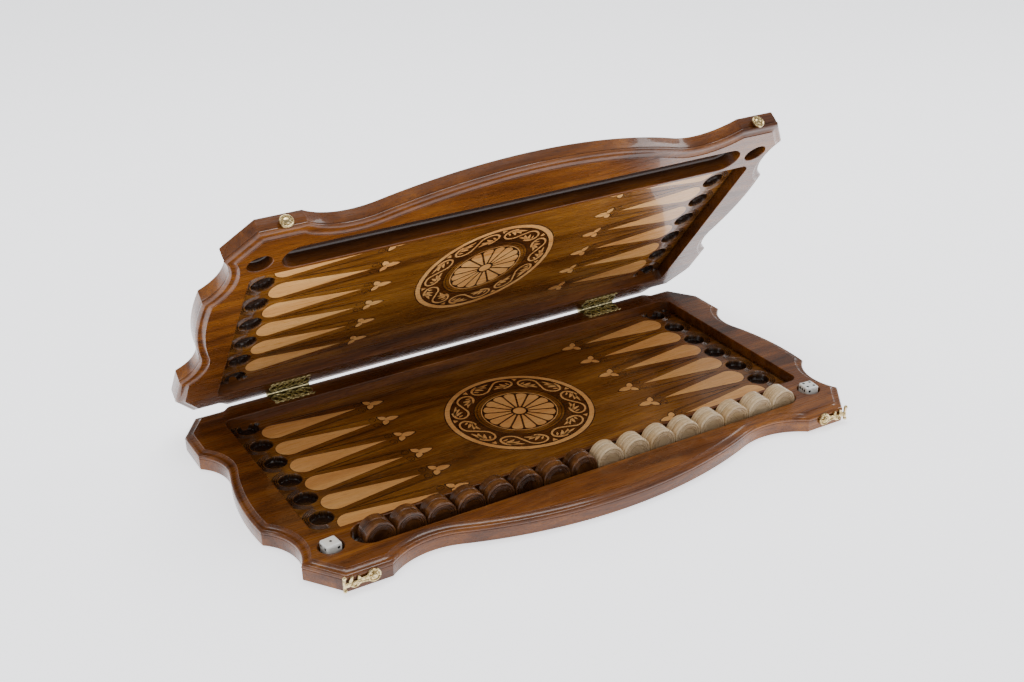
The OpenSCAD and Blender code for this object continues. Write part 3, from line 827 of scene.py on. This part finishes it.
def checker_profile():
    """Radius, height and darkening of one face from its middle to the middle of the edge: a round
    dish, three cut grooves, then an elliptical rim and an upright edge."""
    r = np.linspace(0, 0.925, 56)
    face = -1.5 * mm * np.sqrt(np.clip(1 - (r / 0.56) ** 2, 0, 1))
    grooves = sum(np.exp(-(((r - groove) / 0.014) ** 2)) for groove in (0.6, 0.7, 0.83))
    turn = np.radians(np.linspace(80, 0, 7))
    rim_r = 0.925 + 0.073 * np.cos(turn)
    rim_z = -1.1 * mm * (1 - np.sin(turn))
    radius = np.concatenate([r, rim_r, [0.999, 1.0]]) * checker_r
    height = np.concatenate([face - 0.6 * mm * grooves, rim_z, [-2 * mm, -checker_t / 2]])
    # Darker over the faces and the rim than at the middle of the edge, with painted shade in the grooves and
    # the bowl.
    stain_and_shade = np.concatenate([0.34 + grooves * 0.5 + 0.1 * (r < 0.56), 0.3 * np.sin(turn), [0.35, 0]])
    return radius, height + checker_t / 2, np.clip(stain_and_shade, 0, 0.9)


def checker_mesh():
    """The profile and its mirror image turned about the Y axis, closed at both middles."""
    segments = 60
    radius, height, stain_and_shade = checker_profile()
    bowl = height[0]
    radius = np.concatenate([radius[1:], radius[-2:0:-1]])
    height = np.concatenate([height[1:], -height[-2:0:-1]])
    stain_and_shade = np.concatenate([stain_and_shade[1:], stain_and_shade[-2:0:-1]])
    angle = np.linspace(0, 2 * np.pi, segments, endpoint=False)
    rings = np.stack([
        np.outer(radius, np.cos(angle)), np.repeat(height[:, None], segments, 1),
        np.outer(radius, np.sin(angle)),
    ], -1).reshape(-1, 3)
    faces = loop_band((len(radius), segments), 0)
    points = np.vstack([rings, [[0, bowl, 0]], [[0, -bowl, 0]]])
    k = np.arange(segments)
    first, last = len(rings), len(rings) - segments
    faces += np.stack([np.full(segments, first), k, (k + 1) % segments], 1)[:, ::-1].tolist()
    faces += np.stack([np.full(segments, first + 1), last + k, last + (k + 1) % segments], 1).tolist()
    return points, faces, np.concatenate([np.repeat(stain_and_shade, segments), [0.12, 0.12]])


checker_points, checker_faces, checker_stain_and_shade = checker_mesh()
draw = np.random.default_rng(7)
for tone, wood in (("dark", dark_wood), ("light", light_wood)):
    for number in range(1, 17):
        name = f"{tone}_checker_{number:02d}"
        middle = np.array(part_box(name)).mean(0)
        turn = draw.uniform(0, 2 * np.pi)
        x, y, z = checker_points.T
        across, up = x * np.cos(turn) - z * np.sin(turn), x * np.sin(turn) + z * np.cos(turn)
        turned = np.stack([across, y, up], 1)
        grain = checker_points + draw.uniform(-1, 1, 3)
        make_piece(name + "_turned", turned + middle, checker_faces, name, wood, tone + "_checker_wood",
                   [name], checker_stain_and_shade, 40, grain)

# Dice.
# White plastic cubes with rounded edges and corners and black painted pips, opposite faces adding
# up to seven.
die_half = 7 * mm
die_round = 1.7 * mm
pip_r, pip_gap = 1.3 * mm, 3.5 * mm
die_white = Finish("die_white", Base_Color=(0.86, 0.85, 0.8, 1), Roughness=0.22, Coat_Weight=0.5)
haze = die_white.noise(die_white.node("ShaderNodeTexCoord", {}, {}, "Object"), (90, 90, 90), 3)
die_white.feed("Base Color", die_white.mix(haze, (0.8, 0.79, 0.73), (0.9, 0.89, 0.85)))
die_white.feed("Roughness", die_white.range(haze, 0.3, 0.7, 0.18, 0.3))
pip_black = Finish("pip_black", Base_Color=(0.01, 0.01, 0.012, 1), Roughness=0.3)
speck = pip_black.noise(pip_black.node("ShaderNodeTexCoord", {}, {}, "Object"), (300, 300, 300), 2)
pip_black.feed("Roughness", pip_black.range(speck, 0.3, 0.7, 0.25, 0.4))
face_axes = (
    (1, (0, 0, 1), (1, 0, 0)), (6, (0, 0, -1), (1, 0, 0)), (2, (0, -1, 0), (1, 0, 0)),
    (5, (0, 1, 0), (1, 0, 0)), (3, (1, 0, 0), (0, 1, 0)), (4, (-1, 0, 0), (0, 1, 0)),
)
pip_spots = {
    1: [(0, 0)],
    2: [(-1, -1), (1, 1)],
    3: [(-1, -1), (0, 0), (1, 1)],
    4: [(-1, -1), (-1, 1), (1, -1), (1, 1)],
    5: [(-1, -1), (-1, 1), (0, 0), (1, -1), (1, 1)],
    6: [(-1, -1), (-1, 0), (-1, 1), (1, -1), (1, 0), (1, 1)],
}


def die_mesh():
    """Six square grids, each point drawn in to the inner cube and pushed out by the edge radius."""
    steps = 13
    t = np.linspace(-1, 1, steps)
    t = np.sign(t) * np.abs(t) ** 0.6 * die_half
    u, v = [grid.ravel()[:, None] for grid in np.meshgrid(t, t)]
    shapes = []
    cell = (np.arange(steps - 1)[:, None] * steps + np.arange(steps - 1)).ravel()
    for _, out, along in face_axes:
        out, along = np.array(out, float), np.array(along, float)
        points = out * die_half + u * along + v * np.cross(out, along)
        core = np.clip(points, -(die_half - die_round), die_half - die_round)
        away = points - core
        points = core + die_round * away / np.linalg.norm(away, axis=1, keepdims=True)
        faces = np.stack([cell, cell + 1, cell + steps + 1, cell + steps], 1).tolist()
        shapes.append((points, faces))
    return gather(shapes)


def pip_mesh():
    """Flat black rounds standing a hair above the faces."""
    angle = np.linspace(0, 2 * np.pi, 24, endpoint=False)[:, None]
    shapes = []
    for value, out, along in face_axes:
        out, along = np.array(out, float), np.array(along, float)
        across = np.cross(out, along)
        for a, b in pip_spots[value]:
            middle = out * (die_half + 0.04 * mm) + (a * along + b * across) * pip_gap
            edge = middle + pip_r * (np.cos(angle) * along + np.sin(angle) * across)
            points = np.vstack([edge, edge - out * 0.3 * mm])
            n = np.arange(24)
            faces = np.stack([n, 24 + n, 24 + (n + 1) % 24, (n + 1) % 24], 1).tolist()
            shapes.append((points, [list(range(24)), list(range(47, 23, -1)), *faces]))
    return gather(shapes)


def turn_matrix(axis, degrees):
    """A turn about a row axis."""
    a, b = {"x": (1, 2), "y": (2, 0), "z": (0, 1)}[axis]
    angle = np.radians(degrees)
    made = np.eye(3)
    made[a, a] = made[b, b] = np.cos(angle)
    made[b, a], made[a, b] = np.sin(angle), -np.sin(angle)
    return made


for name, lean, roll in (("die_left", 6, np.eye(3)), ("die_right", -6, turn_matrix("y", 90))):
    middle = np.array(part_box(name)).mean(0)
    turn = turn_matrix("z", lean) @ roll
    cube_points, cube_faces = die_mesh()
    make_piece(name + "_cube", cube_points @ turn.T + middle, cube_faces, name, die_white.material,
               "white_plastic", [name], None, 60)
    pip_points, pip_faces = pip_mesh()
    make_piece(name + "_pips", pip_points @ turn.T + middle, pip_faces, name, pip_black.material,
               "white_plastic", (), None, 60)

# Hinges.
# Two cast brass butt hinges, gone greenish with age, with raised knotwork on both leaves and a
# beaded barrel. The leaves, pins and screws keep their made shape, with knotted wires over them.
def cast_brass(name, dull, bright, roughness):
    """Cast metal, bright where it is rubbed and dull in the hollows, with a lumpy surface."""
    finish = Finish(name, Metallic=1.0)
    where = finish.node("ShaderNodeTexCoord", {}, {}, 3)
    lumps = finish.noise(where, (420, 420, 420), 4)
    finish.feed("Base Color", finish.mix(finish.range(lumps, 0.35, 0.65), dull, bright))
    finish.feed("Roughness", finish.range(lumps, 0.3, 0.7, roughness + 0.14, roughness))
    finish.bump(lumps, 0.35, 0.3 * mm)
    return finish.material


hinge_ground = cast_brass("hinge_ground", (0.07, 0.055, 0.02), (0.26, 0.21, 0.09), 0.5)
hinge_brass = cast_brass("hinge_brass", (0.5, 0.42, 0.17), (0.92, 0.8, 0.42), 0.26)
knuckle_brass = cast_brass("knuckle_brass", (0.62, 0.53, 0.28), (0.85, 0.78, 0.48), 0.22)


def tube(path, radius, sides=10):
    """A round wire along a path in space: rings square to the path, closed with flat ends."""
    path = np.asarray(path, float)
    along = np.gradient(path, axis=0)
    along /= np.linalg.norm(along, axis=1, keepdims=True)
    up = np.where(np.abs(along[:, 2:]) > 0.9, [[1.0, 0, 0]], [[0, 0, 1.0]])
    across = np.cross(along, up)
    across /= np.linalg.norm(across, axis=1, keepdims=True)
    other = np.cross(across, along)
    angle = np.linspace(0, 2 * np.pi, sides, endpoint=False)[None, :, None]
    radius = np.broadcast_to(radius, len(path))[:, None, None]
    rings = path[:, None] + radius * (np.cos(angle) * across[:, None] + np.sin(angle) * other[:, None])
    faces = loop_band((len(path), sides), 0)
    last = (len(path) - 1) * sides
    faces += [list(range(sides))[::-1], list(range(last, last + sides))]
    return rings.reshape(-1, 3), [face[::-1] for face in faces]


knot_rings = (
    (-13 * mm, 7.5 * mm, 7 * mm), (0, 5.5 * mm, 7.4 * mm), (13 * mm, 7.5 * mm, 7 * mm),
    (-6.5 * mm, 5.4 * mm, 4.2 * mm), (6.5 * mm, 5.4 * mm, 4.2 * mm),
)
knot_z = half_h + 0.1 * mm
knot_near, knot_far = back_y - 18.6 * mm, back_y - 0.8 * mm


def knotwork(x):
    """Interlaced rings, two crossing waves and a lobed border of wire over the face of the leaf
    whose middle is at x, in the lower half's frame."""
    y = (knot_near + knot_far) / 2
    t = np.linspace(0, 2 * np.pi, 49)
    shapes = []
    for centre, wide, long in knot_rings:
        over = knot_z + 0.25 * mm * np.sin(4 * t)
        ring = np.stack([x + centre + wide * np.cos(t), y + long * np.sin(t), over], 1)
        shapes.append(tube(ring, 0.62 * mm))
    wave = np.linspace(-19.5, 19.5, 80)
    for phase in (0, np.pi):
        sway = 4.6 * mm * np.sin(wave * 0.48 + phase)
        over = knot_z + 0.3 * mm * np.cos(wave * 0.48)
        shapes.append(tube(np.stack([x + wave * mm, y + sway, over], 1), 0.55 * mm))
    lobes = np.linspace(-20.5, 20.5, 90)
    edge = knot_near + 0.9 * mm + 0.8 * mm * np.cos(lobes * 1.2)
    shapes.append(tube(np.stack([x + lobes * mm, edge, np.full(90, knot_z)], 1), 0.7 * mm))
    return gather(shapes)


for side in ("left", "right"):
    points, faces = knotwork(np.array(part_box(f"hinge_{side}_lower_leaf")).mean(0)[0])
    flipped = [face[::-1] for face in faces]
    make_piece(f"lower_{side}_knotwork", points, faces, "lower_case", hinge_brass, "hinge_brass",
               (), None, 50)
    make_piece(f"upper_{side}_knotwork", in_upper_half(points), flipped, "lid", hinge_brass, "hinge_brass",
               (), None, 50)
    for part, brass in (("lower_leaf", hinge_ground), ("upper_leaf", hinge_ground), ("pin", knuckle_brass)):
        for material_slot in frame["nodes"][f"hinge_{side}_{part}"].material_slots:
            material_slot.material = brass
    low, high = np.array(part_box(f"hinge_{side}_pin"))
    x = np.linspace(low[0], high[0], 121)
    beads = 1.93 * mm + 0.2 * mm * np.abs(np.sin((x - low[0]) / (high[0] - low[0]) * 10 * np.pi))
    barrel = np.stack([x, np.full(121, axis_y), np.full(121, axis_z)], 1)
    make_piece(f"{side}_barrel", *tube(barrel, beads, 20), "lower_case", knuckle_brass, "hinge_brass",
               (), None, 50)
for name in ("hinge_screws_lower", "hinge_screws_upper"):
    for material_slot in frame["nodes"][name].material_slots:
        material_slot.material = knuckle_brass

# Hooks and studs.
# Pale brass hooks turn on round screws in the lower front: a rosette, a scrolled arm with a jaw,
# and a cross bar with a ball at each end. The studs they hold stand on the upper front.
hook_brass = cast_brass("hook_brass", (0.36, 0.26, 0.11), (0.8, 0.64, 0.35), 0.2)
hook_x, hook_z = 233 * mm, 10 * mm
bar_reach = 25.5 * mm


def ball(centre, radius, flatten=1.0, rings=9, sides=18):
    """A ball, or a flattened one, from rings of points between two poles."""
    turn = np.linspace(0, np.pi, rings + 2)[1:-1]
    angle = np.linspace(0, 2 * np.pi, sides, endpoint=False)
    depth = np.repeat(-np.cos(turn)[:, None] * flatten, sides, 1)
    across, up = np.outer(np.sin(turn), np.cos(angle)), np.outer(np.sin(turn), np.sin(angle))
    shape = np.stack([across, depth, up], -1).reshape(-1, 3)
    points = np.vstack([shape, [[0, -flatten, 0], [0, flatten, 0]]]) * radius + centre
    faces = [face[::-1] for face in loop_band((rings, sides), 0)]
    n = np.arange(sides)
    last = (rings - 1) * sides
    faces += np.stack([np.full(sides, rings * sides), n, (n + 1) % sides], 1).tolist()
    far_pole = np.full(sides, rings * sides + 1)
    faces += np.stack([far_pole, last + (n + 1) % sides, last + n], 1).tolist()
    return points, faces


def ring_of_beads(centre, ring_r, bead_r, flatten, sides, count):
    """Beads on a circle that faces forwards."""
    shapes = []
    for step in range(count):
        angle = step * 2 * np.pi / count
        way = np.array([np.cos(angle), 0, np.sin(angle)])
        shapes.append(ball(centre + way * ring_r, bead_r, flatten, 5, sides))
    return shapes


round_turn = np.linspace(0, 2 * np.pi, 41)
forward_ring = np.stack([np.cos(round_turn), 0 * round_turn, np.sin(round_turn)], 1)
for side, name in ((-1, "hook_left"), (1, "hook_right")):
    pivot = np.array([side * hook_x, -front_y - 1.9 * mm, hook_z])
    shapes = [tube(forward_ring * 5.1 * mm + pivot, 0.85 * mm)]
    shapes += ring_of_beads(pivot, 3.1 * mm, 1.15 * mm, 0.7, 10, 8)
    reach = np.linspace(0, 1, 30)
    for up in (-1, 1):
        rise = np.where(reach < 0.5, 3.6 - 5.2 * reach, 1.0 + 0.6 * np.sin(reach * 6)) * up
        arm = np.stack([side * (4.5 + 19.5 * reach), np.full(30, 0.3), -0.9 + rise * 0.62], 1) * mm + pivot
        shapes.append(tube(arm, np.linspace(0.95, 0.6, 30) * mm))
    turn = np.linspace(-0.5 * np.pi, 1.3 * np.pi, 30)
    size = np.linspace(2.9, 1.3, 30)
    along, drop_by = side * (16.6 + size * np.cos(turn)), 2.6 + size * np.sin(turn)
    swirl = np.stack([along, np.full(30, -0.2), -drop_by], 1) * mm + pivot
    shapes.append(tube(swirl, np.linspace(0.85, 0.5, 30) * mm))
    height = np.linspace(-5.6, 5.6, 25)
    bar = np.stack([np.full(25, side * bar_reach / mm), np.full(25, 0.45), height], 1) * mm + pivot
    shapes.append(tube(bar, 1.15 * mm + 0.35 * mm * np.abs(np.linspace(-1, 1, 25)) ** 3))
    for up in (-1, 1):
        shapes.append(ball(bar[12] + [0, -0.5 * mm, up * 6.0 * mm], 1.75 * mm))
    make_piece(name + "_scrollwork", *gather(shapes), name, hook_brass, "hook_brass", (), None, 60)
    points, faces = ball(pivot - [0, 1.4 * mm, 0], 2.6 * mm, 0.42)
    make_piece(name + "_pivot_dome", points, faces, "lower_case", hook_brass, "hook_brass", (), None, 60)
    head = np.array([side * hook_x, -front_y - 3.6 * mm, hook_z])
    shapes = [ball(head, 3.4 * mm, 0.45), tube(forward_ring * 5.2 * mm + head, 0.8 * mm)]
    shapes += ring_of_beads(head, 4.1 * mm, 0.7 * mm, 0.8, 8, 10)
    points, faces = gather(shapes)
    flipped = [face[::-1] for face in faces]
    make_piece(name.replace("hook", "stud") + "_rosette", in_upper_half(points), flipped, "lid",
               hook_brass, "hook_brass", (), None, 60)
for name in ("hook_left", "hook_right", "hook_pivot_screws", "catch_studs"):
    for material_slot in frame["nodes"][name].material_slots:
        material_slot.material = hook_brass
